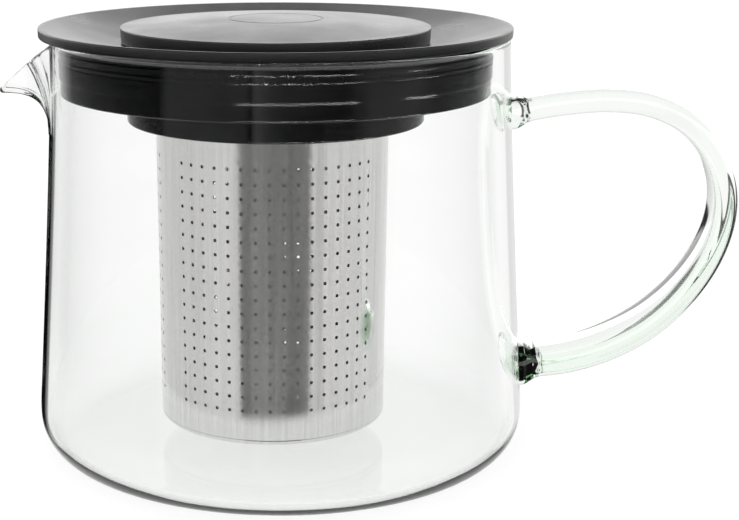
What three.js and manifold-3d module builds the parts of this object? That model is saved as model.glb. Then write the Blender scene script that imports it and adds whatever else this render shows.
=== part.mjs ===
// Glass teapot with a lift-off lid, a lift-out perforated strainer and a small inner lid.
// Millimetres, +Z up. The origin is the centre of the jug's underside, the spout points to -X
// and the handle to +X.
import * as THREE from "three";
import { mergeVertices } from "three/addons/utils/BufferGeometryUtils.js";
import Module from "manifold-3d";

const wasm = await Module();
wasm.setup();

// Driving dimensions
const GAP = 0.3; // clearance between pieces that touch

const BASE_RADIUS = 73; // widest part of the jug
const NECK_RADIUS = 66.5; // outside of the rim
const FOOT_RADIUS = 63; // edge of the flat underside
const CORNER_HEIGHT = 11; // height of the round base corner
const RIM_Z = 123;
const WALL = 2.1;
const RIM_WALL = 1.9;
const FLOOR = 3;
const TAPER_POWER = 1.2; // above 1 the wall is slightly hollow

const SPOUT_START_Z = 95; // where the wall starts to run out into the spout
const SPOUT_HALF_ANGLE = THREE.MathUtils.degToRad(15);
const SPOUT_SHARE = 0.42; // part of the pull that the spout has over its whole width
const NIB_ANGLE = THREE.MathUtils.degToRad(2.8); // spread of the narrow nib that has the rest
const SPOUT_FLOOR = new THREE.CubicBezierCurve( // underside of the spout, as radius and height
  new THREE.Vector2(68.1, 95),
  new THREE.Vector2(69.2, 104.5),
  new THREE.Vector2(74, 106.2),
  new THREE.Vector2(82.4, 105.9),
);

const HANDLE_WIDTH = [14, 19]; // across the strap, at its upper and at its lower end
const HANDLE_THICKNESS = [7.2, 9.2];
const HANDLE_SWELL = [0.35, 0.85]; // stretch of the loop over which the strap grows
const HANDLE_SQUARENESS = 3; // exponent of the section, where 2 is an ellipse
const HANDLE_LOOP = new THREE.CatmullRomCurve3( // centre line, from the upper weld to the lower one
  [
    [64, 100],
    [73, 101.6],
    [84, 103.3],
    [96, 104.1],
    [107.6, 102.8],
    [118.6, 98],
    [126.6, 90],
    [131, 79.5],
    [131.4, 69.5],
    [128.2, 58.3],
    [120.7, 46.4],
    [110, 36.2],
    [97, 29.1],
    [84, 25.4],
    [70, 24.4],
  ].map(([x, z]) => new THREE.Vector3(x, 0, z)),
);
const WELD_FLARE = 0.4; // extra section size at the welds
const WELD_LENGTH = 3.5;

const LID_SHIFT = -1.4; // the lid sits this far towards the spout, within its play in the neck
const PLATE_RADIUS = 68.6;
const PLATE_TOP_Z = 126.1; // rim of the dished plate
const PLATE_SEAT_Z = 121; // flat ring in the dish, under the inner lid
const PLATE_SEAT_RADIUS = 47; // where the dish rises from its flat ring
const PLATE_HOLE_RADIUS = 42.6;
const PLATE_THICKNESS = 2.1;
const PLATE_EDGE = 0.5; // chamfer of the plate's rim, and of the disc's
const COLLAR_RADIUS = 63;
const COLLAR_BOTTOM_Z = 107.2;
const COLLAR_WALL = 2.4; // the outer wall with the seal's groove
const COLLAR_FLOOR = 2.2;
const TUBE_WALL = 1.8; // the collar's inner tube
const GROOVE_DEPTH = 1.1; // the seal's groove
const GROOVE_HEIGHT = 5.1;
const SEAL_RADIUS = 63.1;
const SEAL_BOTTOM_Z = 116.7;
const SEAL_HEIGHT = 4.2;
const LIP_HEIGHT = 1.3; // each of the seal's two lips
const LIP_REACH = 0.5;
const SEAT_RADIUS = 43.6; // step cup under the collar, which holds the strainer
const SEAT_TOP_Z = 118.4;
const SEAT_BOTTOM_Z = 98.3;
const SEAT_BORE_RADIUS = 40.8;
const LEDGE_RADIUS = 35.9; // hole in the step cup's floor
const LEDGE_THICKNESS = 1.9;
const MOULD_CHAMFER = 0.8; // at the collar's and the step cup's lower edge

const STRAINER_SHIFT = -1; // the strainer hangs this far towards the spout, within its play
const STRAINER_TOP_RADIUS = 34.3;
const STRAINER_BOTTOM_RADIUS = 33.8;
const STRAINER_BOTTOM_Z = 8.8;
const STRAINER_TOP_Z = 104;
const STEEL = 0.5;
const FLANGE_RADIUS = 39.5;
const FLANGE_THICKNESS = 1;
const ROLL = 1.2; // width of the roll over the strainer's top edge
const FLOOR_EDGE = 1.3; // round edge of the strainer's floor
const FLOOR_SHEET = 0.8;
const UPSTAND_HEIGHT = 5.5;

const DISC_RADIUS = 45.1;
const DISC_EDGE_Z = 125.6;
const DISC_CROWN_Z = 128;
const RECESS_RADIUS = 41.4; // under the disc, over the plug's flange
const RECESS_DEPTH = 1.7;
const PLUG_RADIUS = SEAT_BORE_RADIUS - 0.4;
const PLUG_BOTTOM_Z = 112.5;
const PLUG_WALL = 1.6;
const PLUG_TOP = 1.5;
const PLUG_FLANGE_RADIUS = 41.1;
const PLUG_FLANGE = 1.4;

// How finely curved faces are divided
const TURN_SEGMENTS = 48;
const STRAINER_SEGMENTS = 40;
const JUG_COLUMNS = 80;
const COLUMN_CROWDING = 0.62; // how strongly the jug's columns gather round the spout
const WALL_ROWS = [CORNER_HEIGHT, 38, 66, 90]; // heights of the rings below the spout
const SPOUT_ROW_COUNT = 8;
const SPOUT_ROW_STEP = 3.6;
const HANDLE_SIDES = 16;
const HANDLE_STEPS = 48;
const DOME_ROWS = [0.9, 0.7, 0.35, 0]; // rings of the disc's dome, as parts of its radius

const glass = new THREE.MeshStandardMaterial({
  color: 0xeef3f0,
  roughness: 0.03,
  metalness: 0,
  transparent: true,
  opacity: 0.3,
});
const satinBlack = new THREE.MeshStandardMaterial({ color: 0x55555a, roughness: 0.5, metalness: 0 });
const glossBlack = new THREE.MeshStandardMaterial({ color: 0x0c0c0e, roughness: 0.15, metalness: 0 });
const softBlack = new THREE.MeshStandardMaterial({ color: 0x141416, roughness: 0.45, metalness: 0 });
const steel = new THREE.MeshStandardMaterial({ color: 0xc4c4c2, roughness: 0.3, metalness: 1 });

/** A turned body: [radius, z] points, revolved about the Z axis. A ring's outline is closed here. */
function turned(points, segments = TURN_SEGMENTS) {
  const profile = points.map(([radius, z]) => new THREE.Vector2(radius, z));
  const last = profile[profile.length - 1];
  if (last.x > 0) profile.push(profile[0].clone());
  return new THREE.LatheGeometry(profile, segments).rotateX(Math.PI / 2);
}

/** Points of an elliptical arc in the profile plane, from angle start to angle end in degrees. */
function arc(centreRadius, centreZ, radius, height, start, end, steps) {
  return Array.from({ length: steps + 1 }, (_, i) => {
    const angle = THREE.MathUtils.degToRad(start + ((end - start) * i) / steps);
    return [centreRadius + radius * Math.cos(angle), centreZ + height * Math.sin(angle)];
  });
}

/** Moves every vertex of a geometry by a function that changes the vector it is given. */
function reshape(geometry, move) {
  const position = geometry.getAttribute("position");
  const point = new THREE.Vector3();
  for (let i = 0; i < position.count; i++) {
    point.fromBufferAttribute(position, i);
    move(point);
    position.setXYZ(i, point.x, point.y, point.z);
  }
  return geometry;
}

/** A closed geometry as a solid that can be cut. */
function solidOf(geometry) {
  const bare = geometry.clone();
  bare.deleteAttribute("normal");
  bare.deleteAttribute("uv");
  const merged = mergeVertices(bare, 1e-4);
  return new wasm.Manifold(
    new wasm.Mesh({
      numProp: 3,
      vertProperties: merged.getAttribute("position").array,
      triVerts: new Uint32Array(merged.index.array),
    }),
  );
}

/** A solid as a geometry again. */
function geometryOf(solid) {
  const mesh = solid.getMesh();
  return new THREE.BufferGeometry()
    .setAttribute("position", new THREE.BufferAttribute(mesh.vertProperties, 3))
    .setIndex(new THREE.BufferAttribute(mesh.triVerts, 1));
}

/** Outer radius of the jug's wall: a slightly hollow taper from the base corner to the rim. */
function wallRadius(z) {
  const drop = THREE.MathUtils.clamp((RIM_Z - z) / (RIM_Z - CORNER_HEIGHT), 0, 1);
  return NECK_RADIUS + (BASE_RADIUS - NECK_RADIUS) * Math.pow(drop, TAPER_POWER);
}

/** Wall thickness, which thins a little towards the rim. */
function wallThickness(z) {
  return THREE.MathUtils.mapLinear(z, CORNER_HEIGHT, RIM_Z, WALL, RIM_WALL);
}

/** Crowds the lathe's columns together round the spout and spreads them round the handle. */
function crowdColumns(point) {
  const radius = Math.hypot(point.x, point.y);
  const angle = Math.atan2(point.y, -point.x);
  const crowded = angle - COLUMN_CROWDING * Math.sin(angle);
  point.x = -radius * Math.cos(crowded);
  point.y = radius * Math.sin(crowded);
}

/** How far the wall is pulled into the spout, from 0 to 1, at an angle from -X. */
function spoutPull(angle) {
  const part = Math.min(Math.abs(angle) / SPOUT_HALF_ANGLE, 1);
  const broad = Math.pow(1 - Math.pow(part, 4), 1.5);
  const nib = Math.exp(-((angle / NIB_ANGLE) ** 2));
  return SPOUT_SHARE * broad + (1 - SPOUT_SHARE) * nib;
}

/** Pulls the wall near -X outwards and down into the spout, keeping its thickness. */
function pullSpout(point) {
  const angle = Math.atan2(point.y, -point.x);
  const run = (point.z - SPOUT_START_Z) / (RIM_Z - SPOUT_START_Z);
  if (Math.abs(angle) >= SPOUT_HALF_ANGLE || run <= 0) return;
  const pull = spoutPull(angle);
  const radius = Math.hypot(point.x, point.y);
  const depth = wallRadius(point.z) - radius;
  const floor = SPOUT_FLOOR.getPoint(run);
  const along = SPOUT_FLOOR.getTangent(run);
  const pulledRadius = THREE.MathUtils.lerp(radius, floor.x - depth * along.y, pull);
  point.x *= pulledRadius / radius;
  point.y *= pulledRadius / radius;
  point.z = THREE.MathUtils.lerp(point.z, floor.y + depth * along.x, pull);
}

function glassJug() {
  const bead = RIM_WALL / 2;
  const spoutRows = Array.from({ length: SPOUT_ROW_COUNT }, (_, i) => SPOUT_START_Z + i * SPOUT_ROW_STEP);
  const heights = [...WALL_ROWS, ...spoutRows];
  const outside = heights.map((z) => [wallRadius(z), z]);
  const inside = heights.map((z) => [wallRadius(z) - wallThickness(z), z]).reverse();
  const corner = BASE_RADIUS - FOOT_RADIUS;
  const geometry = turned(
    [
      [0, 0],
      ...arc(FOOT_RADIUS, CORNER_HEIGHT, corner, CORNER_HEIGHT, -90, -15, 5),
      ...outside,
      ...arc(NECK_RADIUS - bead, RIM_Z - bead, bead, bead, 0, 180, 4),
      ...inside.slice(0, -1),
      ...arc(FOOT_RADIUS, CORNER_HEIGHT, corner - WALL, CORNER_HEIGHT - FLOOR, 0, -90, 4),
      [0, FLOOR],
    ],
    JUG_COLUMNS,
  );
  return reshape(reshape(geometry, crowdColumns), pullSpout);
}

/** The jug's outer shape swollen by the gap, as a solid that trims what is welded to the wall. */
function jugKeepOut() {
  const outline = [...WALL_ROWS, RIM_Z].map((z) => [wallRadius(z) + GAP, z]);
  return solidOf(reshape(turned([[0, 0], ...outline, [0, RIM_Z]], JUG_COLUMNS), crowdColumns));
}

/** One coordinate of the strap's section on a square of side 1, from a cosine or a sine. */
function sectionCoordinate(value) {
  return (Math.sign(value) * Math.pow(Math.abs(value), 2 / HANDLE_SQUARENESS)) / 2;
}

/** Solid strap that follows the loop, grows towards its lower end and flares at both welds. */
function glassHandle() {
  const section = new THREE.Shape(
    Array.from({ length: HANDLE_SIDES }, (_, i) => {
      const angle = (2 * Math.PI * i) / HANDLE_SIDES;
      return new THREE.Vector2(sectionCoordinate(Math.cos(angle)), sectionCoordinate(Math.sin(angle)));
    }),
  );
  const strap = new THREE.ExtrudeGeometry(section, { steps: HANDLE_STEPS, extrudePath: HANDLE_LOOP });
  const centres = HANDLE_LOOP.getSpacedPoints(4 * HANDLE_STEPS);
  reshape(strap, (point) => {
    const inPlane = new THREE.Vector3(point.x, 0, point.z);
    const distances = centres.map((centre) => centre.distanceTo(inPlane));
    const nearest = distances.indexOf(Math.min(...distances));
    const centre = centres[nearest];
    const growth = THREE.MathUtils.smoothstep(nearest / (centres.length - 1), ...HANDLE_SWELL);
    const offWall = Math.max(0, centre.x - wallRadius(centre.z));
    const flare = 1 + WELD_FLARE * Math.exp(-((offWall / WELD_LENGTH) ** 2));
    const width = THREE.MathUtils.lerp(...HANDLE_WIDTH, growth) * flare;
    const thickness = THREE.MathUtils.lerp(...HANDLE_THICKNESS, growth) * flare;
    point.sub(centre).multiply(new THREE.Vector3(thickness, width, thickness)).add(centre);
  });
  return geometryOf(solidOf(strap).subtract(jugKeepOut()));
}

/** Dished cover plate with a flat seat for the inner lid and a large round hole. */
function lidPlate() {
  const overhang = RIM_Z + GAP; // the plate's edge lies on the glass rim
  const rimInside = NECK_RADIUS - RIM_WALL - 0.6;
  return turned([
    [PLATE_HOLE_RADIUS, PLATE_SEAT_Z - PLATE_THICKNESS],
    [PLATE_SEAT_RADIUS - PLATE_EDGE, PLATE_SEAT_Z - PLATE_THICKNESS],
    [rimInside - PLATE_EDGE, overhang - PLATE_EDGE],
    [rimInside, overhang],
    [PLATE_RADIUS - 2 * PLATE_EDGE, overhang],
    [PLATE_RADIUS, overhang + 2 * PLATE_EDGE],
    [PLATE_RADIUS, PLATE_TOP_Z - PLATE_EDGE],
    [PLATE_RADIUS - PLATE_EDGE, PLATE_TOP_Z],
    [PLATE_RADIUS - 2.5 * PLATE_EDGE, PLATE_TOP_Z - 0.1],
    [PLATE_SEAT_RADIUS, PLATE_SEAT_Z],
    [PLATE_HOLE_RADIUS, PLATE_SEAT_Z],
  ]);
}

/** Hollow collar that fills the jug's neck: outer wall, ring floor and inner tube. */
function lidCollar() {
  const groove = COLLAR_RADIUS - GROOVE_DEPTH;
  const inside = COLLAR_RADIUS - COLLAR_WALL;
  const tube = PLATE_HOLE_RADIUS + TUBE_WALL;
  const floor = COLLAR_BOTTOM_Z + COLLAR_FLOOR;
  const underPlate = PLATE_SEAT_Z - PLATE_THICKNESS - GAP;
  return turned([
    [PLATE_HOLE_RADIUS, COLLAR_BOTTOM_Z],
    [COLLAR_RADIUS - MOULD_CHAMFER, COLLAR_BOTTOM_Z],
    [COLLAR_RADIUS, COLLAR_BOTTOM_Z + MOULD_CHAMFER],
    [COLLAR_RADIUS, SEAL_BOTTOM_Z],
    [groove, SEAL_BOTTOM_Z],
    [groove, SEAL_BOTTOM_Z + GROOVE_HEIGHT],
    [inside, SEAL_BOTTOM_Z + GROOVE_HEIGHT - GAP],
    [inside, floor],
    [tube, floor],
    [tube, underPlate],
    [PLATE_HOLE_RADIUS, underPlate],
  ]);
}

/** Soft ring in the collar's groove with two thin lips that wipe the glass. */
function lidSealRing() {
  const inner = COLLAR_RADIUS - GROOVE_DEPTH + GAP;
  const root = SEAL_RADIUS - LIP_REACH;
  const low = SEAL_BOTTOM_Z + GAP;
  const upperLip = low + 2.2;
  return turned([
    [inner, low],
    [root, low],
    [SEAL_RADIUS, low + LIP_REACH],
    [root, low + LIP_HEIGHT],
    [root, upperLip],
    [SEAL_RADIUS, upperLip + LIP_REACH],
    [root, upperLip + LIP_HEIGHT],
    [inner, low + SEAL_HEIGHT],
  ]);
}

/** Step cup fixed in the collar's tube. The strainer's flange hangs on its bottom ledge. */
function strainerSeat() {
  const tube = PLATE_HOLE_RADIUS - GAP;
  const underCollar = COLLAR_BOTTOM_Z - GAP;
  const ledgeTop = SEAT_BOTTOM_Z + LEDGE_THICKNESS;
  return turned([
    [LEDGE_RADIUS, SEAT_BOTTOM_Z],
    [SEAT_RADIUS - MOULD_CHAMFER, SEAT_BOTTOM_Z],
    [SEAT_RADIUS, SEAT_BOTTOM_Z + MOULD_CHAMFER],
    [SEAT_RADIUS, underCollar],
    [tube, underCollar],
    [tube, SEAT_TOP_Z],
    [SEAT_BORE_RADIUS, SEAT_TOP_Z],
    [SEAT_BORE_RADIUS, ledgeTop],
    [LEDGE_RADIUS, ledgeTop],
  ]);
}

/** Steel flange ring that lies on the ledge and is rolled over the top of the strainer wall. */
function strainerRim() {
  const sleeve = STRAINER_TOP_RADIUS + GAP;
  const inside = STRAINER_TOP_RADIUS - STEEL - GAP;
  const flangeZ = SEAT_BOTTOM_Z + LEDGE_THICKNESS + GAP;
  const rollZ = STRAINER_TOP_Z + GAP;
  return turned(
    [
      [sleeve, flangeZ],
      [FLANGE_RADIUS, flangeZ],
      [FLANGE_RADIUS, flangeZ + FLANGE_THICKNESS],
      [sleeve + ROLL, flangeZ + FLANGE_THICKNESS],
      [sleeve + ROLL, rollZ + FLOOR_SHEET],
      [inside, rollZ + FLOOR_SHEET],
      [inside, rollZ],
      [sleeve, rollZ],
    ],
    STRAINER_SEGMENTS,
  );
}

/** Rolled steel tube, slightly tapered. */
function strainerWall() {
  const bottom = STRAINER_BOTTOM_Z + FLOOR_EDGE + GAP;
  return turned(
    [
      [STRAINER_BOTTOM_RADIUS - STEEL, bottom],
      [STRAINER_BOTTOM_RADIUS, bottom],
      [STRAINER_TOP_RADIUS, STRAINER_TOP_Z],
      [STRAINER_TOP_RADIUS - STEEL, STRAINER_TOP_Z],
    ],
    STRAINER_SEGMENTS,
  );
}

/** Pressed steel floor, with a round edge under the wall and an upstand inside it. */
function strainerFloor() {
  const upstand = STRAINER_BOTTOM_RADIUS - STEEL - GAP;
  const edgeZ = STRAINER_BOTTOM_Z + FLOOR_EDGE;
  return turned(
    [
      [0, STRAINER_BOTTOM_Z],
      ...arc(STRAINER_BOTTOM_RADIUS - FLOOR_EDGE, edgeZ, FLOOR_EDGE, FLOOR_EDGE, -90, 0, 3),
      [upstand, edgeZ],
      [upstand, STRAINER_BOTTOM_Z + UPSTAND_HEIGHT],
      [upstand - STEEL, STRAINER_BOTTOM_Z + UPSTAND_HEIGHT],
      [upstand - STEEL, STRAINER_BOTTOM_Z + FLOOR_SHEET],
      [0, STRAINER_BOTTOM_Z + FLOOR_SHEET],
    ],
    STRAINER_SEGMENTS,
  );
}

/** Low domed disc that is lifted by its edge. */
function innerLidDisc() {
  const seat = PLATE_SEAT_Z + GAP;
  const edge = DISC_RADIUS - PLATE_EDGE;
  const dome = DOME_ROWS.map((part) => [
    part * edge,
    DISC_CROWN_Z - (DISC_CROWN_Z - DISC_EDGE_Z) * part * part,
  ]);
  return turned([
    [0, seat + RECESS_DEPTH],
    [RECESS_RADIUS, seat + RECESS_DEPTH],
    [RECESS_RADIUS, seat],
    [edge, seat],
    [DISC_RADIUS, seat + PLATE_EDGE],
    [DISC_RADIUS, DISC_EDGE_Z - PLATE_EDGE],
    [edge, DISC_EDGE_Z],
    ...dome,
  ]);
}

/** Plug under the disc that centres it in the strainer seat. Its skirt is open at the bottom. */
function innerLidPlug() {
  const top = PLATE_SEAT_Z + RECESS_DEPTH;
  const skirtInside = PLUG_RADIUS - PLUG_WALL;
  return turned([
    [0, top - PLUG_TOP],
    [skirtInside, top - PLUG_TOP],
    [skirtInside, PLUG_BOTTOM_Z],
    [PLUG_RADIUS, PLUG_BOTTOM_Z],
    [PLUG_RADIUS, top - PLUG_FLANGE],
    [PLUG_FLANGE_RADIUS, top - PLUG_FLANGE],
    [PLUG_FLANGE_RADIUS, top],
    [0, top],
  ]);
}

function piece(name, geometry, material) {
  const mesh = new THREE.Mesh(geometry, material);
  mesh.name = name;
  return mesh;
}

const jug = new THREE.Group();
jug.add(piece("glass_jug", glassJug(), glass));
jug.add(piece("glass_handle", glassHandle(), glass));

const lid = new THREE.Group();
lid.position.x = LID_SHIFT;
lid.add(piece("lid_plate", lidPlate(), satinBlack));
lid.add(piece("lid_collar", lidCollar(), glossBlack));
lid.add(piece("lid_seal_ring", lidSealRing(), softBlack));
lid.add(piece("strainer_seat", strainerSeat(), glossBlack));

const strainer = new THREE.Group();
strainer.position.x = STRAINER_SHIFT;
strainer.add(piece("strainer_rim", strainerRim(), steel));
strainer.add(piece("strainer_wall", strainerWall(), steel));
strainer.add(piece("strainer_floor", strainerFloor(), steel));
lid.add(strainer);

const innerLid = new THREE.Group();
innerLid.add(piece("inner_lid_disc", innerLidDisc(), satinBlack));
innerLid.add(piece("inner_lid_plug", innerLidPlug(), softBlack));
lid.add(innerLid);

const teapot = new THREE.Group();
teapot.add(jug, lid);
export default teapot;
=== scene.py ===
"""Looks of the glass teapot: clear glass jug, black lid, perforated steel strainer."""
import math
from functools import partial

import bpy
import numpy as np
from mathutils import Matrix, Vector


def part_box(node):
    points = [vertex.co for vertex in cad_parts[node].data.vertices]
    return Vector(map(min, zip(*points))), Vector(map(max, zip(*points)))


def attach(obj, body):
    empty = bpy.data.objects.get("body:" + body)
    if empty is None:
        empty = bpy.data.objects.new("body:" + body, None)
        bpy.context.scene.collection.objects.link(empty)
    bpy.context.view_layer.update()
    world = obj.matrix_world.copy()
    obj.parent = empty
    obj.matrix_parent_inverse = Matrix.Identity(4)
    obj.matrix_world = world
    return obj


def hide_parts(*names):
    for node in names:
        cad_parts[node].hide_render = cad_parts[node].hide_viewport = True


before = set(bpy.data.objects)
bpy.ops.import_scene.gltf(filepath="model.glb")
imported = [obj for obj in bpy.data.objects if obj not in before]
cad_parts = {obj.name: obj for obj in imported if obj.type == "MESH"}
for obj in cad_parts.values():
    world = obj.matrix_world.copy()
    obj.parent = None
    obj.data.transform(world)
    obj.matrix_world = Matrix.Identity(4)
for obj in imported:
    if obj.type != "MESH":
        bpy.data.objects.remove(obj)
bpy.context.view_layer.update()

MM = 0.001
FILLET_STEPS = 5
NOISE_SPAN = (0.3, 0.7)  # most of a noise texture's values lie between these

# Jug, in millimetres
BASE_RADIUS = 73.0
NECK_RADIUS = 66.5
FOOT_RADIUS = 63.0
FLAT_RADIUS = 50.0  # the base is flat inside this radius
CORNER_HEIGHT = 11.0
RIM_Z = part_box("glass_jug")[1][2] / MM
WALL = 2.1
RIM_WALL = 1.9
FLOOR = 3.0
TAPER_POWER = 1.2
SOFT_TOP_Z = 30  # the corner is evened out into the wall below this height
SOFT_ROUNDS = 12
SPOUT_START_Z = 95.0
SPOUT_HALF_ANGLE = math.radians(15)
SPOUT_SHARE = 0.42  # part of the pull that the spout has over its whole width
NIB_ANGLE = math.radians(2.8)
SPOUT_FLOOR = ((68.1, 95.0), (69.2, 104.5), (74.0, 106.2), (82.4, 105.9))

# Handle
HANDLE_WIDTH = (14.0, 19.0)  # at the upper and at the lower end
HANDLE_THICKNESS = (7.2, 9.2)
HANDLE_SWELL = (0.35, 0.85)  # stretch of the loop over which the strap grows
HANDLE_SQUARENESS = 3.0
HANDLE_TRIM = 0.996  # keeps the smooth strap within the CAD one
HANDLE_LOOP = (
    (64, 100), (73, 101.6), (84, 103.3), (96, 104.1), (107.6, 102.8), (118.6, 98), (126.6, 90),
    (131, 79.5), (131.4, 69.5), (128.2, 58.3), (120.7, 46.4), (110, 36.2), (97, 29.1), (84, 25.4),
    (70, 24.4),
)
WELD_FLARE = 0.4
WELD_LENGTH = 3.5

# Lid
plate_lo, plate_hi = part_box("lid_plate")
LID_X = (plate_lo[0] + plate_hi[0]) / 2 / MM
PLATE_RADIUS = 68.6
PLATE_TOP_Z = plate_hi[2] / MM
PLATE_SEAT_Z = 121.0
PLATE_HOLE_RADIUS = 42.6
PLATE_THICKNESS = 2.1
COLLAR_RADIUS = 63.0
COLLAR_BOTTOM_Z = 107.2
STEP_Z = 112.6  # the collar narrows a little below this height
STEP_DEPTH = 0.3
SEAL_RADIUS = 63.1
SEAL_GROOVE = 1.1  # depth of the collar's groove that holds the seal
SEAL_BOTTOM_Z = 116.7
SEAT_RADIUS = 43.6
SEAT_BOTTOM_Z = 98.3
SEAT_TOP_Z = 118.4
SEAT_FLOOR = 1.9
SEAT_BORE_RADIUS = 40.8
LEDGE_RADIUS = 35.9
DISC_RADIUS = 45.1
DISC_EDGE_Z = 125.6
DISC_CROWN_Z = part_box("inner_lid_disc")[1][2] / MM
DISC_RECESS = 1.7  # depth of the hollow under the disc, which the plug fills
GROOVE_RADIUS = 13.6
PLUG_BOTTOM_Z = 112.5
GAP = 0.3  # between pieces that touch on the real object

# Strainer
strainer_lo, strainer_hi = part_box("strainer_wall")
STRAINER_X = (strainer_lo[0] + strainer_hi[0]) / 2 / MM
STRAINER_TOP_RADIUS = 34.3
STRAINER_BOTTOM_RADIUS = 33.8
STRAINER_BOTTOM_Z = 8.8
STRAINER_TOP_Z = 104.0
WALL_LOW_Z = STRAINER_BOTTOM_Z + 1.6  # where the rolled sheet starts, above the floor's round edge
STEEL = 0.5
FLANGE_RADIUS = 39.5
HOLE_RADIUS = 0.52
HOLE_ROWS = 18
HOLE_LOW_Z = 19.1
HOLE_HIGH_Z = 89.4
HOLE_PITCH = 6.73  # degrees between columns
FRONT_COLUMNS = 16
BACK_COLUMNS = 30
FRONT_START = -48.0  # angle of the first column, from the camera side towards the handle
BACK_START = 92.3

# Studio. Each table gives brightness against the direction in degrees, from the camera side (-Y)
# towards +X.
FLOOR_GLOW = 0.78
SEEN_FLOOR = 0.08  # radius of floor that reflections see
WALL_VIEW = (  # what outer surfaces and the glass wall mirror
    (-180, 0.0), (-152, 0.0), (-147, 0.7), (-136, 0.6), (-124, 0.04), (-60, 0.0), (-56, 0.22), (-17, 0.2),
    (-14, 0.03), (-12, 0.45), (-4, 0.2), (4, 0.1), (24, 0.06), (34, 0.05), (45, 0.24), (68, 0.25), (80, 0.1),
    (108, 0.06), (122, 0.35), (132, 0.9), (180, 0.9),
)
STEEL_VIEW = (  # what the pieces inside the jug mirror
    (-180, 0.95), (-158, 0.9), (-131, 0.8), (-77, 0.76), (-58, 0.84), (-35, 0.8), (-31, 0.15), (-26, 0.1),
    (-20, 0.14), (8, 0.14), (14, 0.16), (17, 0.07), (27, 0.1), (33, 0.06), (36, 0.12), (40, 0.95), (46, 0.5),
    (54, 0.82), (97, 0.82), (107, 0.92), (122, 0.82), (142, 0.92), (180, 1.0),
)
WALL_BAND = (-26, -4.5, 2)  # lowest and highest angle over the horizon, and the softness, of WALL_VIEW
WALL_FADE = (-17, -13)  # heights over which WALL_VIEW fades in for reflections within the glass
LID_BAND = (-0.5, 24, 4)  # like WALL_BAND, for the light that the lid's top mirrors
LID_BAND_LEVEL = 1.95
LID_SKY_LEVEL = 0.06
REBOUND_LEVEL = 0.9  # seen after two or more reflections inside the jug
WALL_FLAGS = (  # direction from and to, from +Y towards -X, and the share of light that the flag takes
    (2, 31, 0.99),
    (-30, 2, 0.3),
)
PANELS = (  # low bright panels that the lid's edges catch: direction from and to, height from and to, level
    (-24, 51, -75, -34, 25),
    (82, 103, -75, -34, 220),
)
HANDLE_FLAGS = (  # dark flags that only the handle bends the view to: direction, then height, from and to
    (-166, -147, -55, 5),
    (112, 147, -55, -16),
)
HANDLE_FLAG_LEVEL = 0.02

# Camera
CAMERA_PLACE = (0.0013, -0.475, 0.17632)
CAMERA_PITCH = 13.7  # degrees down
CAMERA_LENS = 79.32
CAMERA_SHIFT = (0.1143, -0.023)

# ---------------------------------------------------------------- mesh helpers

def add_mesh(name, vertices, faces, sharp=35):
    """A smooth-shaded mesh object from points in millimetres."""
    mesh = bpy.data.meshes.new(name)
    mesh.from_pydata([tuple(c * MM for c in v) for v in vertices], [], faces)
    mesh.validate()
    mesh.shade_smooth()
    mesh.set_sharp_from_angle(angle=math.radians(sharp))
    piece = bpy.data.objects.new(name, mesh)
    bpy.context.scene.collection.objects.link(piece)
    return piece


def rounded(points, closed=True):
    """An outline whose points (r, z, fillet) are rounded by their fillet radius."""
    outline = []
    count = len(points)
    for i, (r, z, *fillet) in enumerate(points):
        at_end = not closed and i in (0, count - 1)
        if not fillet or at_end:
            outline.append((r, z))
            continue
        here = Vector((r, z))
        to_last = (Vector(points[i - 1][:2]) - here).normalized()
        to_next = (Vector(points[(i + 1) % count][:2]) - here).normalized()
        half = to_last.angle(to_next) / 2
        reach = fillet[0] / math.tan(half)
        start, end = here + to_last * reach, here + to_next * reach
        for k in range(FILLET_STEPS + 1):
            t = k / FILLET_STEPS
            outline.append(tuple(start * (1 - t) ** 2 + here * 2 * t * (1 - t) + end * t * t))
    return outline


def arc(centre_r, centre_z, radius, height, start, end, steps):
    """Points of an elliptical arc, from angle start to angle end in degrees."""
    angles = np.radians(np.linspace(start, end, steps + 1))
    return [(centre_r + radius * math.cos(a), centre_z + height * math.sin(a)) for a in angles]


def revolve(outline, segments=192, centre_x=0.0, crowd=0.0):
    """Vertices and faces of a turned body. Points on the axis become one vertex each, and crowd
    draws the segments together near -X."""
    vertices, rings = [], []
    for r, z in outline:
        if r < 1e-6:
            rings.append([len(vertices)])
            vertices.append((centre_x, 0.0, z))
            continue
        rings.append(list(range(len(vertices), len(vertices) + segments)))
        for k in range(segments):
            turn = 2 * math.pi * k / segments
            turn -= crowd * math.sin(turn)
            vertices.append((centre_x - r * math.cos(turn), r * math.sin(turn), z))
    faces = []
    on_axis = outline[0][0] < 1e-6
    pairs = zip(rings, rings[1:] if on_axis else rings[1:] + rings[:1])
    for low, high in pairs:
        for k in range(segments):
            n = (k + 1) % segments
            if len(low) == 1:
                faces.append((low[0], high[k], high[n]))
            elif len(high) == 1:
                faces.append((low[n], low[k], high[0]))
            else:
                faces.append((low[n], low[k], high[k], high[n]))
    return vertices, faces


def turned(name, points, segments=192, centre_x=LID_X):
    """A turned ring or disc, on the lid's axis unless centre_x says otherwise."""
    closed = points[0][0] > 1e-6
    return add_mesh(name, *revolve(rounded(points, closed), segments, centre_x))


# ---------------------------------------------------------------- jug and handle

def wall_radius(z):
    drop = min(max((RIM_Z - z) / (RIM_Z - CORNER_HEIGHT), 0.0), 1.0)
    return NECK_RADIUS + (BASE_RADIUS - NECK_RADIUS) * drop ** TAPER_POWER


def wall_thickness(z):
    return WALL + (RIM_WALL - WALL) * (z - CORNER_HEIGHT) / (RIM_Z - CORNER_HEIGHT)


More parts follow.
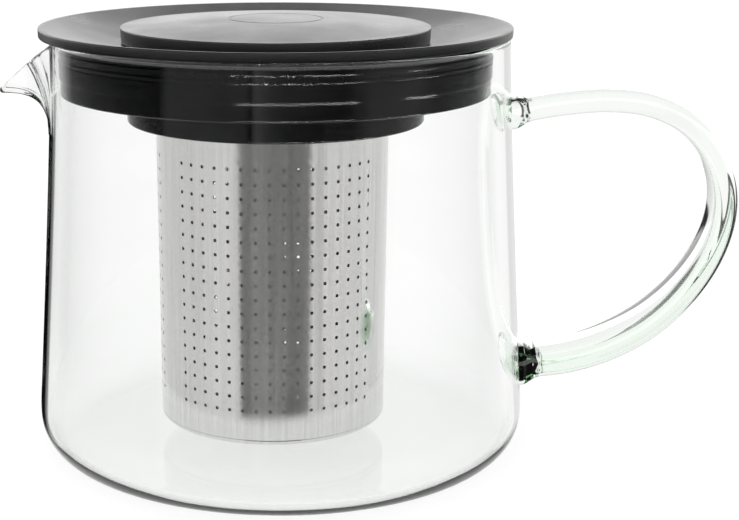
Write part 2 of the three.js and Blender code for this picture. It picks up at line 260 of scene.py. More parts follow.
def bezier(points, t):
    """Point and unit tangent of a cubic Bezier curve."""
    p = np.array(points)
    s = 1 - t
    place = s ** 3 * p[0] + 3 * s * s * t * p[1] + 3 * s * t * t * p[2] + t ** 3 * p[3]
    slope = s * s * (p[1] - p[0]) + 2 * s * t * (p[2] - p[1]) + t * t * (p[3] - p[2])
    return place, slope / np.linalg.norm(slope)


def spout_pull(angle):
    """How far the wall is pulled into the spout, from 0 to 1, at an angle from -X."""
    broad = (1 - min(abs(angle) / SPOUT_HALF_ANGLE, 1) ** 4) ** 1.5
    nib = math.exp(-((angle / NIB_ANGLE) ** 2))
    return SPOUT_SHARE * broad + (1 - SPOUT_SHARE) * nib


def pull_spout(vertex):
    """Pulls the wall near -X outwards and down into the spout, keeping its thickness."""
    x, y, z = vertex
    angle = math.atan2(y, -x)
    run = (z - SPOUT_START_Z) / (RIM_Z - SPOUT_START_Z)
    if abs(angle) >= SPOUT_HALF_ANGLE or run <= 0:
        return vertex
    pull = spout_pull(angle)
    radius = math.hypot(x, y)
    depth = wall_radius(z) - radius
    floor, along = bezier(SPOUT_FLOOR, run)
    new_radius = radius * (1 - pull) + (floor[0] - depth * along[1]) * pull
    new_z = z * (1 - pull) + (floor[1] + depth * along[0]) * pull
    return x * new_radius / radius, y * new_radius / radius, new_z


def soften(outline):
    """Evens out the lower part of the outline, so that the corner runs smoothly into the wall."""
    points = np.array(outline)
    for _ in range(SOFT_ROUNDS):
        middle = (points[:-2] + 2 * points[1:-1] + points[2:]) / 4
        free = (points[1:-1, 1] < SOFT_TOP_Z) & (points[1:-1, 0] > FLAT_RADIUS)
        points[1:-1][free] = middle[free]
    return [tuple(p) for p in points]


def jug_outline():
    """The jug's section: out along the underside, up the outside, over the rim and back inside."""
    bead = RIM_WALL / 2
    wall = list(np.linspace(CORNER_HEIGHT, SPOUT_START_Z, 60)[1:])
    spout = list(np.linspace(SPOUT_START_Z, RIM_Z - bead, 36)[1:])
    heights = wall + spout

    def side(base_z, corner, inset):
        """One face of the glass, from the flat of the base round the corner and up. At each height it
        lies inset inside the outer wall."""
        points = [(r, base_z) for r in np.linspace(FLAT_RADIUS, FOOT_RADIUS, 12)[:-1]]
        points += arc(FOOT_RADIUS, CORNER_HEIGHT, corner, CORNER_HEIGHT - base_z, -90, 0, 14)
        points += [(wall_radius(z) - inset(z), z) for z in heights]
        return soften(points)

    outside = side(0.0, BASE_RADIUS - FOOT_RADIUS, lambda z: 0.0)
    inside = side(FLOOR, BASE_RADIUS - WALL - FOOT_RADIUS, wall_thickness)
    rim = arc(NECK_RADIUS - bead, RIM_Z - bead, bead, bead, 0, 180, 10)[1:-1]
    centre = [(r, 0.0) for r in (0, 12, 25, 38)]
    floor = [(r, FLOOR) for r in (38, 25, 12, 0)]
    return centre + outside + rim + inside[::-1] + floor


def loop_points(knots, steps):
    """Points along a centripetal Catmull-Rom curve through the knots."""
    p = np.array(knots, float)
    p = np.vstack([2 * p[0] - p[1], p, 2 * p[-1] - p[-2]])
    t = np.concatenate([[0], np.cumsum(np.sqrt(np.linalg.norm(np.diff(p, axis=0), axis=1)))])
    result = []
    for u in np.linspace(t[1], t[-2], steps):
        i = min(max(int(np.searchsorted(t, u, "right")) - 1, 1), len(p) - 3)
        q = [p[i - 1 + k] for k in range(4)]
        s = t[i - 1:i + 3]
        a = [((s[k + 1] - u) * q[k] + (u - s[k]) * q[k + 1]) / (s[k + 1] - s[k]) for k in range(3)]
        b = [((s[k + 2] - u) * a[k] + (u - s[k]) * a[k + 1]) / (s[k + 2] - s[k]) for k in range(2)]
        result.append(((s[2] - u) * b[0] + (u - s[1]) * b[1]) / (s[2] - s[1]))
    return np.array(result)


def handle_mesh(steps=260, sides=64):
    """The strap: a soft-cornered section that grows towards the lower end and flares at both welds."""
    centres = loop_points(HANDLE_LOOP, steps)
    along = np.gradient(centres, axis=0)
    along /= np.linalg.norm(along, axis=1)[:, None]
    reach = np.concatenate([[0], np.cumsum(np.linalg.norm(np.diff(centres, axis=0), axis=1))])
    part = np.clip((reach / reach[-1] - HANDLE_SWELL[0]) / (HANDLE_SWELL[1] - HANDLE_SWELL[0]), 0, 1)
    growth = part * part * (3 - 2 * part)
    vertices = []
    for (x, z), (dx, dz), grown in zip(centres, along, growth):
        off_wall = max(0.0, x - wall_radius(z))
        size = 1 + WELD_FLARE * math.exp(-((off_wall / WELD_LENGTH) ** 2))
        half_width = np.interp(grown, (0, 1), HANDLE_WIDTH) / 2 * size
        half_thickness = np.interp(grown, (0, 1), HANDLE_THICKNESS) / 2 * size * HANDLE_TRIM
        for k in range(sides):
            a = 2 * math.pi * k / sides
            c, s = math.cos(a), math.sin(a)
            wide = half_width * math.copysign(abs(c) ** (2 / HANDLE_SQUARENESS), c)
            thick = half_thickness * math.copysign(abs(s) ** (2 / HANDLE_SQUARENESS), s)
            vertices.append((x - dz * thick, wide, z + dx * thick))
    faces = [tuple(range(sides))[::-1], tuple(range((steps - 1) * sides, steps * sides))]
    for i in range(steps - 1):
        for k in range(sides):
            n = (k + 1) % sides
            faces.append((i * sides + k, i * sides + n, (i + 1) * sides + n, (i + 1) * sides + k))
    return vertices, faces


def make_glass():
    """The jug with its spout, and the handle fused to it."""
    vertices, faces = revolve(jug_outline(), 256, crowd=0.5)
    jug = add_mesh("jug_glass", [pull_spout(v) for v in vertices], faces, sharp=60)
    handle = add_mesh("handle_part", *handle_mesh(), sharp=60)
    weld = jug.modifiers.new("weld", "BOOLEAN")
    weld.operation = "UNION"
    weld.solver = "EXACT"
    weld.object = handle
    graph = bpy.context.evaluated_depsgraph_get()
    joined = bpy.data.meshes.new_from_object(jug.evaluated_get(graph))
    jug.modifiers.clear()
    jug.data = joined
    joined.shade_smooth()
    joined.set_sharp_from_angle(angle=math.radians(60))
    bpy.data.objects.remove(handle)
    return jug


# ---------------------------------------------------------------- lid and strainer

def make_plate():
    """A dished plate with a hole in the middle, whose edge overhangs the jug's rim."""
    under = PLATE_SEAT_Z - PLATE_THICKNESS
    dish = 47.0  # where the flat round the hole meets the slope
    return turned("lid_plate_fine", [
        (PLATE_HOLE_RADIUS, under),
        (dish - 0.5, under),
        (COLLAR_RADIUS - 0.1, PLATE_TOP_Z - 3.5),
        (COLLAR_RADIUS + 1.0, RIM_Z + GAP),
        (PLATE_RADIUS - 0.1, RIM_Z + GAP, 0.6),
        (PLATE_RADIUS, PLATE_TOP_Z, 0.45),
        (PLATE_RADIUS - 1.3, PLATE_TOP_Z - 0.1, 0.25),
        (dish, PLATE_SEAT_Z, 1.5),
        (PLATE_HOLE_RADIUS, PLATE_SEAT_Z, 0.2),
    ])


def make_collar():
    """A hollow ring, open at the top, with a groove for the seal and a small step below it."""
    groove = COLLAR_RADIUS - SEAL_GROOVE
    groove_top_z = SEAL_BOTTOM_Z + 5.1
    shell = groove - 1.3
    floor_z = COLLAR_BOTTOM_Z + 2.2
    tube = PLATE_HOLE_RADIUS + 1.8
    under_plate = PLATE_SEAT_Z - PLATE_THICKNESS - GAP
    return turned("lid_collar_fine", [
        (PLATE_HOLE_RADIUS, COLLAR_BOTTOM_Z, 0.3),
        (COLLAR_RADIUS - STEP_DEPTH, COLLAR_BOTTOM_Z, 0.9),
        (COLLAR_RADIUS - STEP_DEPTH, STEP_Z - 0.8, 0.1),
        (COLLAR_RADIUS, STEP_Z, 0.1),
        (COLLAR_RADIUS, SEAL_BOTTOM_Z, 0.3),
        (groove, SEAL_BOTTOM_Z),
        (groove, groove_top_z),
        (shell, groove_top_z - 0.3),
        (shell, floor_z),
        (tube, floor_z),
        (tube, under_plate),
        (PLATE_HOLE_RADIUS, under_plate),
    ])


def make_seal():
    """A band in the collar's groove, with two thin lips."""
    inner = COLLAR_RADIUS - SEAL_GROOVE + GAP
    root = SEAL_RADIUS - 0.5
    low = SEAL_BOTTOM_Z + GAP
    lip_pitch = 2.1
    outline = [(inner, low)]
    for foot in (low, low + lip_pitch):
        outline += [
            (root, foot, 0.1),
            (SEAL_RADIUS - 0.2, foot + 0.15),
            (SEAL_RADIUS, foot + 0.65),
            (SEAL_RADIUS, foot + 0.95, 0.1),
            (root, foot + 1.4, 0.2),
        ]
    high = low + 2 * lip_pitch
    return turned("lid_seal_fine", outline + [(root, high, 0.1), (inner, high)])


def make_seat():
    """A cup with a ledge inside its floor, which the strainer's flange hangs on."""
    tube = PLATE_HOLE_RADIUS - GAP
    floor = SEAT_BOTTOM_Z + SEAT_FLOOR
    return turned("strainer_seat_fine", [
        (LEDGE_RADIUS, SEAT_BOTTOM_Z, 0.3),
        (SEAT_RADIUS, SEAT_BOTTOM_Z, 0.9),
        (SEAT_RADIUS, COLLAR_BOTTOM_Z - GAP, 0.1),
        (tube, COLLAR_BOTTOM_Z - GAP),
        (tube, SEAT_TOP_Z, 0.3),
        (SEAT_BORE_RADIUS, SEAT_TOP_Z, 0.3),
        (SEAT_BORE_RADIUS, floor, 0.3),
        (LEDGE_RADIUS, floor, 0.3),
    ])


def make_disc():
    """A low dome with a hollow underside and a fine round groove on top."""
    seat = PLATE_SEAT_Z + GAP
    hollow = 41.4
    rim = DISC_RADIUS - 0.5

    def crown(part):
        return part * rim, DISC_CROWN_Z - (DISC_CROWN_Z - DISC_EDGE_Z) * part * part

    depth = 0.18
    groove = GROOVE_RADIUS / rim
    half = 0.22 / rim
    outer_dome = [crown(part) for part in np.linspace(0.97, groove + 3 * half, 16)]
    inner_dome = [crown(part) for part in np.linspace(groove - 3 * half, 0, 8)]
    line = [crown(groove + k * half) for k in (1.4, 0.5, -0.5, -1.4)]
    line[1:3] = [(r, z - depth) for r, z in line[1:3]]
    edge = [
        (0, seat + DISC_RECESS),
        (hollow, seat + DISC_RECESS),
        (hollow, seat, 0.2),
        (DISC_RADIUS - 0.25, seat, 0.35),
        (DISC_RADIUS, DISC_EDGE_Z + 0.1, 0.4),
    ]
    outline = rounded(edge + outer_dome, closed=False) + line + inner_dome
    return add_mesh("inner_lid_disc_fine", *revolve(outline, 192, LID_X))


def make_plug():
    """A flange under the disc and a hollow skirt that centres it in the seat's bore."""
    top = PLATE_SEAT_Z + DISC_RECESS
    flange = 41.1
    skirt = SEAT_BORE_RADIUS - 0.4
    return turned("inner_lid_plug_fine", [
        (0, top - 1.5),
        (skirt - 1.6, top - 1.5, 0.5),
        (skirt - 1.6, PLUG_BOTTOM_Z, 0.4),
        (skirt, PLUG_BOTTOM_Z, 0.4),
        (skirt, top - 1.4),
        (flange, top - 1.4),
        (flange, top),
        (0, top),
    ])


def make_rim():
    """The flange that hangs on the seat's ledge, and the rolled edge of the strainer's mouth."""
    sleeve = STRAINER_TOP_RADIUS + GAP
    outer = sleeve + 1.2
    inside = STRAINER_TOP_RADIUS - STEEL - GAP
    flange_z = SEAT_BOTTOM_Z + SEAT_FLOOR + GAP
    top_z = STRAINER_TOP_Z + 1.1
    return turned("strainer_rim_fine", [
        (sleeve, flange_z),
        (FLANGE_RADIUS, flange_z, 0.3),
        (FLANGE_RADIUS, flange_z + 1, 0.3),
        (outer, flange_z + 1, 0.5),
        (outer, top_z, 0.4),
        (inside, top_z, 0.3),
        (inside, STRAINER_TOP_Z + GAP),
        (sleeve, STRAINER_TOP_Z + GAP),
    ], centre_x=STRAINER_X)


def strainer_radius(z):
    part = (z - WALL_LOW_Z) / (STRAINER_TOP_Z - WALL_LOW_Z)
    return STRAINER_BOTTOM_RADIUS + (STRAINER_TOP_RADIUS - STRAINER_BOTTOM_RADIUS) * part


def sheet_columns():
    """Columns of the sheet, round the tube: angle from and to, and whether it has holes."""
    columns = []
    fields = ((FRONT_START, FRONT_COLUMNS, BACK_START), (BACK_START, BACK_COLUMNS, FRONT_START + 360))
    for start, count, next_start in fields:
        for k in range(count):
            columns.append((start + (k - 0.5) * HOLE_PITCH, start + (k + 0.5) * HOLE_PITCH, True))
        end = start + (count - 0.5) * HOLE_PITCH
        space = next_start - 0.5 * HOLE_PITCH - end
        plain = max(1, round(space / HOLE_PITCH))
        step = space / plain
        columns += [(end + k * step, end + (k + 1) * step, False) for k in range(plain)]
    return columns


def sheet_heights():
    """Heights of the lines between the sheet's cells. The two lowest rows of cells and the two highest
    are plain."""
    rows = np.linspace(HOLE_LOW_Z, HOLE_HIGH_Z, HOLE_ROWS)
    pitch = rows[1] - rows[0]
    holed = [rows[0] + (k - 0.5) * pitch for k in range(HOLE_ROWS + 1)]
    return [WALL_LOW_Z, (WALL_LOW_Z + holed[0]) / 2, *holed, (STRAINER_TOP_Z + holed[-1]) / 2, STRAINER_TOP_Z]


def cell_edge(left, right, bottom, top):
    """A cell's edge, anticlockwise from outside: 12 places, three to a side."""
    side = [(k / 3, 0) for k in range(3)]
    places = []
    for _ in range(4):
        places += side
        side = [(1 - v, u) for u, v in side]
    return [(left + (right - left) * u, bottom + (top - bottom) * v) for u, v in places]


def make_strainer_wall():
    """A rolled tube, built as a grid of cells on the flat sheet. A cell with a hole is a ring of
    quads round it. Both faces of the sheet and the sides of the holes are made."""
    vertices, index, faces = [], {}, []
    columns = sheet_columns()
    heights = sheet_heights()
    first_holed = 2

    def vertex(angle, z, inner):
        key = (round((angle % 360) * 1000) % 360000, round(z * 1000), inner)
        if key not in index:
            radius = strainer_radius(z) - (STEEL if inner else 0)
            turn = math.radians(angle)
            index[key] = len(vertices)
            vertices.append((STRAINER_X + radius * math.sin(turn), -radius * math.cos(turn), z))
        return index[key]

    def add_face(corners, turned_over):
        faces.append(tuple(corners[::-1] if turned_over else corners))

    def add_cell_with_hole(edge, left, right, bottom, top):
        middle = ((left + right) / 2, (bottom + top) / 2)
        wide = math.degrees(HOLE_RADIUS / strainer_radius(middle[1]))

        def circle(size):
            """A circle of size hole radii, with a point towards each place of the edge."""
            points = []
            for u, v in edge:
                a = math.atan2((v - middle[1]) / (top - bottom), (u - middle[0]) / (right - left))
                across, up = size * wide * math.cos(a), size * HOLE_RADIUS * math.sin(a)
                points.append((middle[0] + across, middle[1] + up))
            return points

        rims = []
        for inner in (False, True):
            rings = [[vertex(*p, inner) for p in loop] for loop in (edge, circle(1.7), circle(1.0))]
            for a, b in zip(rings, rings[1:]):
                for k in range(len(edge)):
                    n = (k + 1) % len(edge)
                    add_face((a[k], a[n], b[n], b[k]), inner)
            rims.append(rings[-1])
        out, back = rims
        for k in range(len(edge)):
            n = (k + 1) % len(edge)
            faces.append((out[k], out[n], back[n], back[k]))

    for left, right, holed in columns:
        for j, (bottom, top) in enumerate(zip(heights, heights[1:])):
            edge = cell_edge(left, right, bottom, top)
            if holed and first_holed <= j < first_holed + HOLE_ROWS:
                add_cell_with_hole(edge, left, right, bottom, top)
                continue
            for inner in (False, True):
                add_face([vertex(*p, inner) for p in edge], inner)
    for left, right, _ in columns:
        thirds = [left + (right - left) * k / 3 for k in range(4)]
        for z, flip in ((heights[0], False), (heights[-1], True)):
            for a, b in zip(thirds, thirds[1:]):
                places = ((a, False), (a, True), (b, True), (b, False))
                add_face([vertex(angle, z, inner) for angle, inner in places], flip)
    return add_mesh("strainer_wall_fine", vertices, faces, sharp=35)


def make_strainer_floor():
    """A pressed disc with a round edge and an upstand inside the tube."""
    low = STRAINER_BOTTOM_Z
    edge = 1.3
    shoulder = low + edge + 0.2
    upstand = STRAINER_BOTTOM_RADIUS - STEEL - GAP
    upstand_z = low + 5.5
    sheet = 0.8
    outline = [(r, low) for r in (0, 8, 16, 24, 30)]
    outline += arc(STRAINER_BOTTOM_RADIUS - edge, low + edge, edge, edge, -90, 0, 8)
    outline += [(STRAINER_BOTTOM_RADIUS - 0.15, shoulder), (upstand, shoulder), (upstand, upstand_z)]
    outline += [(upstand - STEEL, upstand_z), (upstand - STEEL, low + sheet)]
    outline += [(r, low + sheet) for r in (24, 16, 8, 0)]
    return add_mesh("strainer_floor_fine", *revolve(outline, 192, STRAINER_X))


# ---------------------------------------------------------------- materials

def new_material(name):
    """A material with one Principled shader wired to its output."""
    material = bpy.data.materials.new(name)
    material.use_nodes = True
    nodes = material.node_tree.nodes
    nodes.clear()
    output = nodes.new("ShaderNodeOutputMaterial")
    shader = nodes.new("ShaderNodeBsdfPrincipled")
    material.node_tree.links.new(shader.outputs[0], output.inputs["Surface"])
    return material, nodes, material.node_tree.links, shader, output


def feed(links, socket, value):
    """Sets a socket to a number, or links it to another socket."""
    if isinstance(value, (int, float)):
        socket.default_value = value
    else:
        links.new(value, socket)


def math_node(nodes, links, operation, *values):
    node = nodes.new("ShaderNodeMath")
    node.operation = operation
    for socket, value in zip(node.inputs, values):
        feed(links, socket, value)
    return node.outputs[0]


def noise(nodes, links, place, scale, detail=2.0, stretch=None):
    """A noise texture in object space, with an optional stretch of its axes."""
    texture = nodes.new("ShaderNodeTexNoise")
    texture.inputs["Scale"].default_value = scale
    texture.inputs["Detail"].default_value = detail
    source = place.outputs["Object"]
    if stretch:
        mapping = nodes.new("ShaderNodeMapping")
        mapping.inputs["Scale"].default_value = stretch
        links.new(source, mapping.inputs["Vector"])
        source = mapping.outputs["Vector"]
    links.new(source, texture.inputs["Vector"])
    return texture.outputs["Fac"]


def span(nodes, links, source, low, high):
    """Maps a noise to the span from low to high."""
    node = nodes.new("ShaderNodeMapRange")
    node.inputs["From Min"].default_value, node.inputs["From Max"].default_value = NOISE_SPAN
    node.inputs["To Min"].default_value = low
    node.inputs["To Max"].default_value = high
    links.new(source, node.inputs["Value"])
    return node.outputs["Result"]


def bump(nodes, links, shader, height, distance, strength):
    """Tilts the shading by a height of 0 to 1, where 1 stands for distance metres."""
    node = nodes.new("ShaderNodeBump")
    node.inputs["Distance"].default_value = distance
    node.inputs["Strength"].default_value = strength
    links.new(height, node.inputs["Height"])
    links.new(node.outputs["Normal"], shader.inputs["Normal"])


def two_tone(nodes, links, shader, source, dark, light):
    """Drives the base colour from dark to light by a noise, over its middle third."""
    ramp = nodes.new("ShaderNodeValToRGB")
    ramp.color_ramp.elements[0].position = 0.35
    ramp.color_ramp.elements[0].color = (*dark, 1)
    ramp.color_ramp.elements[1].position = 0.65
    ramp.color_ramp.elements[1].color = (*light, 1)
    links.new(source, ramp.inputs["Fac"])
    links.new(ramp.outputs["Color"], shader.inputs["Base Color"])


def glass_material():
    """Clear glass with the faint waves of hand-worked glass and a green depth tint."""
    material, nodes, links, shader, output = new_material("glass")
    shader.inputs["Base Color"].default_value = (1, 1, 1, 1)
    shader.inputs["Roughness"].default_value = 0.0
    shader.inputs["IOR"].default_value = 1.47
    shader.inputs["Transmission Weight"].default_value = 1.0
    place = nodes.new("ShaderNodeTexCoord")
    waves = noise(nodes, links, place, 45, 1.0, (1, 1, 0.35))
    bump(nodes, links, shader, waves, 0.00012, 0.4)
    clear = nodes.new("ShaderNodeBsdfTransparent")
    clear.inputs["Color"].default_value = (0.93, 0.95, 0.94, 1)
    path = nodes.new("ShaderNodeLightPath")
    mix = nodes.new("ShaderNodeMixShader")
    links.new(path.outputs["Is Shadow Ray"], mix.inputs["Fac"])
    links.new(shader.outputs[0], mix.inputs[1])
    links.new(clear.outputs[0], mix.inputs[2])
    links.new(mix.outputs[0], output.inputs["Surface"])
    tint = nodes.new("ShaderNodeVolumeAbsorption")
    tint.inputs["Color"].default_value = (0.2, 0.8, 0.2, 1)
    tint.inputs["Density"].default_value = 3.0
    links.new(tint.outputs[0], output.inputs["Volume"])
    return material


def satin_material(name, gloss):
    """Black plastic with a fine spark-eroded grain."""
    material, nodes, links, shader, _ = new_material(name)
    shader.inputs["Specular IOR Level"].default_value = gloss
    place = nodes.new("ShaderNodeTexCoord")
    grain = noise(nodes, links, place, 2600, 3.0)
    cloud = noise(nodes, links, place, 60, 3.0)
    two_tone(nodes, links, shader, grain, (0.0012, 0.0012, 0.0014), (0.0055, 0.0053, 0.0058))
    links.new(span(nodes, links, cloud, 0.27, 0.34), shader.inputs["Roughness"])
    bump(nodes, links, shader, grain, 0.00012, 0.7)
    return material


def gloss_material():
    """Polished black plastic with faint flow marks."""
    material, nodes, links, shader, _ = new_material("gloss_plastic")
    place = nodes.new("ShaderNodeTexCoord")
    flow = noise(nodes, links, place, 35, 4.0, (1, 1, 0.4))
    shader.inputs["Specular IOR Level"].default_value = 0.08
    two_tone(nodes, links, shader, flow, (0.0004, 0.0005, 0.0006), (0.0015, 0.0016, 0.002))
    links.new(span(nodes, links, flow, 0.04, 0.09), shader.inputs["Roughness"])
    bump(nodes, links, shader, flow, 0.00006, 0.3)
    return material


def silicone_material():
    """Smooth black rubber with a very fine grain."""
    material, nodes, links, shader, _ = new_material("seal_rubber")
    place = nodes.new("ShaderNodeTexCoord")
    grain = noise(nodes, links, place, 900, 2.0)
    shader.inputs["Specular IOR Level"].default_value = 0.1
    two_tone(nodes, links, shader, grain, (0.001, 0.001, 0.0012), (0.003, 0.003, 0.0035))
    links.new(span(nodes, links, grain, 0.12, 0.2), shader.inputs["Roughness"])
    bump(nodes, links, shader, grain, 0.000004, 0.2)
    return material


def steel_material():
    """Polished stainless sheet with faint upright rolling marks in its tone, roughness and height."""
    material, nodes, links, shader, _ = new_material("strainer_steel")
    shader.inputs["Metallic"].default_value = 1.0
    shader.inputs["Anisotropic"].default_value = 0.3
    place = nodes.new("ShaderNodeTexCoord")
    streaks = noise(nodes, links, place, 1400, 3.0, (1, 1, 0.02))
    patches = noise(nodes, links, place, 160, 3.0, (1, 1, 0.06))
    two_tone(nodes, links, shader, streaks, (0.69, 0.685, 0.675), (0.75, 0.745, 0.735))
    links.new(span(nodes, links, patches, 0.12, 0.18), shader.inputs["Roughness"])
    bump(nodes, links, shader, patches, 0.00002, 0.4)
    tangent = nodes.new("ShaderNodeTangent")
    tangent.direction_type = "RADIAL"
    tangent.axis = "Z"
    links.new(tangent.outputs[0], shader.inputs["Tangent"])
    return material


def floor_material():
    """Pale board that mostly glows, so that shadows stay faint. Reflections, and the view bent by the
    handle, see only its middle and past that the studio."""
    material, nodes, links, shader, output = new_material("floor_pale")
    place = nodes.new("ShaderNodeTexCoord")
    cloud = noise(nodes, links, place, 6, 3.0)
    two_tone(nodes, links, shader, cloud, (0.27, 0.27, 0.27), (0.3, 0.3, 0.3))
    shader.inputs["Roughness"].default_value = 0.9
    shader.inputs["Specular IOR Level"].default_value = 0.0
    shader.inputs["Emission Color"].default_value = (1, 1, 1, 1)
    shader.inputs["Emission Strength"].default_value = FLOOR_GLOW

    reach = nodes.new("ShaderNodeVectorMath")
    reach.operation = "LENGTH"
    links.new(place.outputs["Object"], reach.inputs[0])
    path = nodes.new("ShaderNodeLightPath")
    passed = path.outputs["Transmission Depth"]
    beyond = nodes.new("ShaderNodeMapRange")
    beyond.inputs["From Min"].default_value = SEEN_FLOOR - 0.008
    beyond.inputs["From Max"].default_value = SEEN_FLOOR
    links.new(reach.outputs["Value"], beyond.inputs["Value"])
    calc = partial(math_node, nodes, links)
    mirrored = calc("GREATER_THAN", path.outputs["Glossy Depth"], 0.5)
    undiffused = calc("LESS_THAN", path.outputs["Diffuse Depth"], 0.5)
    through_handle = calc("MULTIPLY", calc("COMPARE", passed, 2.0), undiffused)
    unseen = calc("MULTIPLY", beyond.outputs["Result"], calc("MAXIMUM", mirrored, through_handle))
    clear = nodes.new("ShaderNodeBsdfTransparent")
    mix = nodes.new("ShaderNodeMixShader")
    links.new(unseen, mix.inputs["Fac"])
    links.new(shader.outputs[0], mix.inputs[1])
    links.new(clear.outputs[0], mix.inputs[2])
    links.new(mix.outputs[0], output.inputs["Surface"])
    return material


# ---------------------------------------------------------------- pieces

def finish_piece(piece, material, body, slot, *nodes):
    """Gives a piece its material, the body that it rides on and the CAD nodes that it replaces."""
    piece.data.materials.clear()
    piece.data.materials.append(material)
    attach(piece, body)
    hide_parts(*nodes)


glass = glass_material()
plate_satin = satin_material("plate_satin", 0.4)
disc_satin = satin_material("disc_satin", 0.6)
gloss = gloss_material()
silicone = silicone_material()
steel = steel_material()

finish_piece(make_glass(), glass, "jug", "glass", "glass_jug", "glass_handle")
finish_piece(make_plate(), plate_satin, "lid", "satin_plastic", "lid_plate")
finish_piece(make_collar(), gloss, "lid", "gloss_plastic", "lid_collar")
finish_piece(make_seal(), silicone, "lid", "seal_rubber", "lid_seal_ring")
finish_piece(make_seat(), gloss, "lid", "gloss_plastic", "strainer_seat")
finish_piece(make_rim(), steel, "strainer", "strainer_steel", "strainer_rim")
finish_piece(make_strainer_wall(), steel, "strainer", "strainer_steel", "strainer_wall")
finish_piece(make_strainer_floor(), steel, "strainer", "strainer_steel", "strainer_floor")
finish_piece(make_disc(), disc_satin, "inner_lid", "satin_plastic", "inner_lid_disc")
finish_piece(make_plug(), gloss, "inner_lid", "gloss_plastic", "inner_lid_plug")


# ---------------------------------------------------------------- stage, light and camera

def make_floor():
    half = 3.0
    drop = 0.0004  # keeps the board clear of the jug's flat base
    corners = [(-half, -half, 0), (half, -half, 0), (half, half, 0), (-half, half, 0)]
    mesh = bpy.data.meshes.new("floor")
    mesh.from_pydata(corners, [], [(0, 1, 2, 3)])
    floor = bpy.data.objects.new("floor", mesh)
    floor.location.z = -drop
    bpy.context.scene.collection.objects.link(floor)
    mesh.materials.append(floor_material())


def step_up(nodes, links, value, start, end):
    """0 on the start side and 1 on the end side, with a smooth step between. Both are in degrees."""
    node = nodes.new("ShaderNodeMapRange")
    node.interpolation_type = "SMOOTHSTEP"
    node.inputs["From Min"].default_value = math.radians(start)
    node.inputs["From Max"].default_value = math.radians(end)
    links.new(value, node.inputs["Value"])
    return node.outputs["Result"]


def within(nodes, links, value, low, high, soft):
    """1 where the angle lies from low to high, with soft ends. The limits are in degrees."""
    above = step_up(nodes, links, value, low - soft, low)
    below = step_up(nodes, links, value, high + soft, high)
    return math_node(nodes, links, "MULTIPLY", above, below)


def level_table(nodes, links, turn, pairs):
    """A brightness that follows the pairs (direction in degrees, level) round the horizon."""
    part = nodes.new("ShaderNodeMapRange")
    part.inputs["From Min"].default_value = -math.pi
    part.inputs["From Max"].default_value = math.pi
    links.new(turn, part.inputs["Value"])
    ramp = nodes.new("ShaderNodeValToRGB")
    stops = ramp.color_ramp.elements
    ends = (stops[0], stops[1])
    for end, (_, value) in zip(ends, (pairs[0], pairs[-1])):
        end.color = (value, value, value, 1)
    for degrees, value in pairs[1:-1]:
        stops.new((degrees + 180) / 360).color = (value, value, value, 1)
    links.new(part.outputs["Result"], ramp.inputs["Fac"])
    return ramp.outputs["Color"]


def choose(nodes, links, switch, yes, no):
    """yes where switch is 1, no where it is 0."""
    node = nodes.new("ShaderNodeMix")
    node.data_type = "FLOAT"
    links.new(switch, node.inputs["Factor"])
    feed(links, node.inputs["A"], no)
    feed(links, node.inputs["B"], yes)
    return node.outputs["Result"]


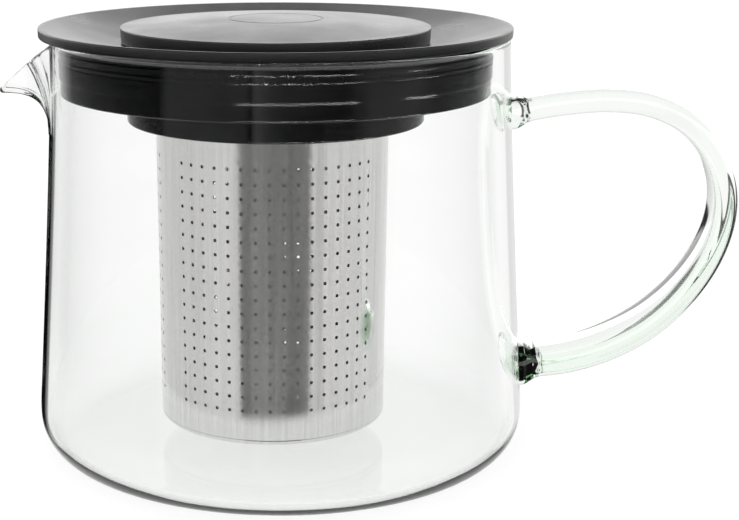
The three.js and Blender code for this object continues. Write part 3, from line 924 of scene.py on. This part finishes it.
def make_world():
    """A white studio. Mirrored rays see the tables, bands and panels of the studio section instead.
    The number of glass surfaces that a ray has passed tells which piece mirrored it: none for an
    outer surface, one or two for the glass wall itself, and more for a piece inside the jug."""
    world = bpy.data.worlds.new("studio")
    bpy.context.scene.world = world
    world.use_nodes = True
    nodes, links = world.node_tree.nodes, world.node_tree.links
    nodes.clear()
    calc, span_of, table, pick = (
        partial(helper, nodes, links) for helper in (math_node, within, level_table, choose)
    )

    place = nodes.new("ShaderNodeTexCoord")
    split = nodes.new("ShaderNodeSeparateXYZ")
    links.new(place.outputs["Generated"], split.inputs[0])
    x, y, z = split.outputs
    front_turn = calc("ARCTAN2", x, calc("MULTIPLY", y, -1.0))  # 0 towards -Y, + towards +X
    back_turn = calc("ARCTAN2", calc("MULTIPLY", x, -1.0), y)  # 0 towards +Y, + towards -X
    height = calc("ARCSINE", z)

    path = nodes.new("ShaderNodeLightPath")
    bounces = path.outputs["Glossy Depth"]
    passed = path.outputs["Transmission Depth"]
    undiffused = calc("LESS_THAN", path.outputs["Diffuse Depth"], 0.5)
    any_mirror = calc("GREATER_THAN", bounces, 0.5)
    mirrored = calc("MULTIPLY", any_mirror, undiffused)
    clear_view = calc("MULTIPLY", calc("SUBTRACT", 1.0, any_mirror), undiffused)
    once = calc("LESS_THAN", bounces, 1.5)
    within_jug = calc("GREATER_THAN", passed, 2.5)
    from_outside = calc("LESS_THAN", passed, 0.5)

    wall_band = span_of(height, *WALL_BAND)
    lid_band = span_of(height, *LID_BAND)
    outside = pick(wall_band, table(front_turn, WALL_VIEW), pick(lid_band, LID_BAND_LEVEL, LID_SKY_LEVEL))

    fade = calc("MULTIPLY", once, step_up(nodes, links, height, *WALL_FADE))
    in_wall = pick(fade, table(front_turn, WALL_VIEW), 1.0)
    dimmed = 0.0
    for start, end, share in WALL_FLAGS:
        dimmed = calc("ADD", calc("MULTIPLY", span_of(back_turn, start, end, 3), share), dimmed)
    in_wall = pick(wall_band, calc("MULTIPLY", in_wall, calc("SUBTRACT", 1.0, dimmed)), 1.0)

    inside = table(front_turn, STEEL_VIEW)
    for start, end, bottom, top, brightness in PANELS:
        panel = calc("MULTIPLY", span_of(front_turn, start, end, 1), span_of(height, bottom, top, 2))
        inside = pick(panel, brightness, inside)
    inside = pick(once, inside, REBOUND_LEVEL)

    bent = 1.0
    for start, end, bottom, top in HANDLE_FLAGS:
        flag = calc("MULTIPLY", span_of(front_turn, start, end, 3), span_of(height, bottom, top, 3))
        bent = pick(flag, HANDLE_FLAG_LEVEL, bent)
    through_handle = calc("MULTIPLY", calc("COMPARE", passed, 2.0), clear_view)

    level = pick(within_jug, inside, pick(from_outside, outside, in_wall))
    seen = pick(mirrored, level, pick(through_handle, bent, 1.0))
    background = nodes.new("ShaderNodeBackground")
    background.inputs["Color"].default_value = (1.0, 1.0, 1.0, 1)
    links.new(seen, background.inputs["Strength"])
    output = nodes.new("ShaderNodeOutputWorld")
    links.new(background.outputs[0], output.inputs["Surface"])


def make_camera():
    """Stands in front of the jug's axis, a little above the lid, and looks down at the jug."""
    data = bpy.data.cameras.new("camera")
    data.sensor_width = 36.0
    data.lens = CAMERA_LENS
    data.shift_x, data.shift_y = CAMERA_SHIFT
    data.clip_start = 0.01
    data.clip_end = 50
    camera = bpy.data.objects.new("camera", data)
    camera.location = CAMERA_PLACE
    camera.rotation_euler = (math.radians(90 - CAMERA_PITCH), 0, 0)
    bpy.context.scene.collection.objects.link(camera)
    bpy.context.scene.camera = camera


make_floor()
make_world()
make_camera()

scene = bpy.context.scene
scene.view_settings.view_transform = "Standard"
scene.cycles.max_bounces = 32
scene.cycles.transmission_bounces = 24
scene.cycles.glossy_bounces = 24
scene.cycles.transparent_max_bounces = 16
scene.cycles.use_denoising = True
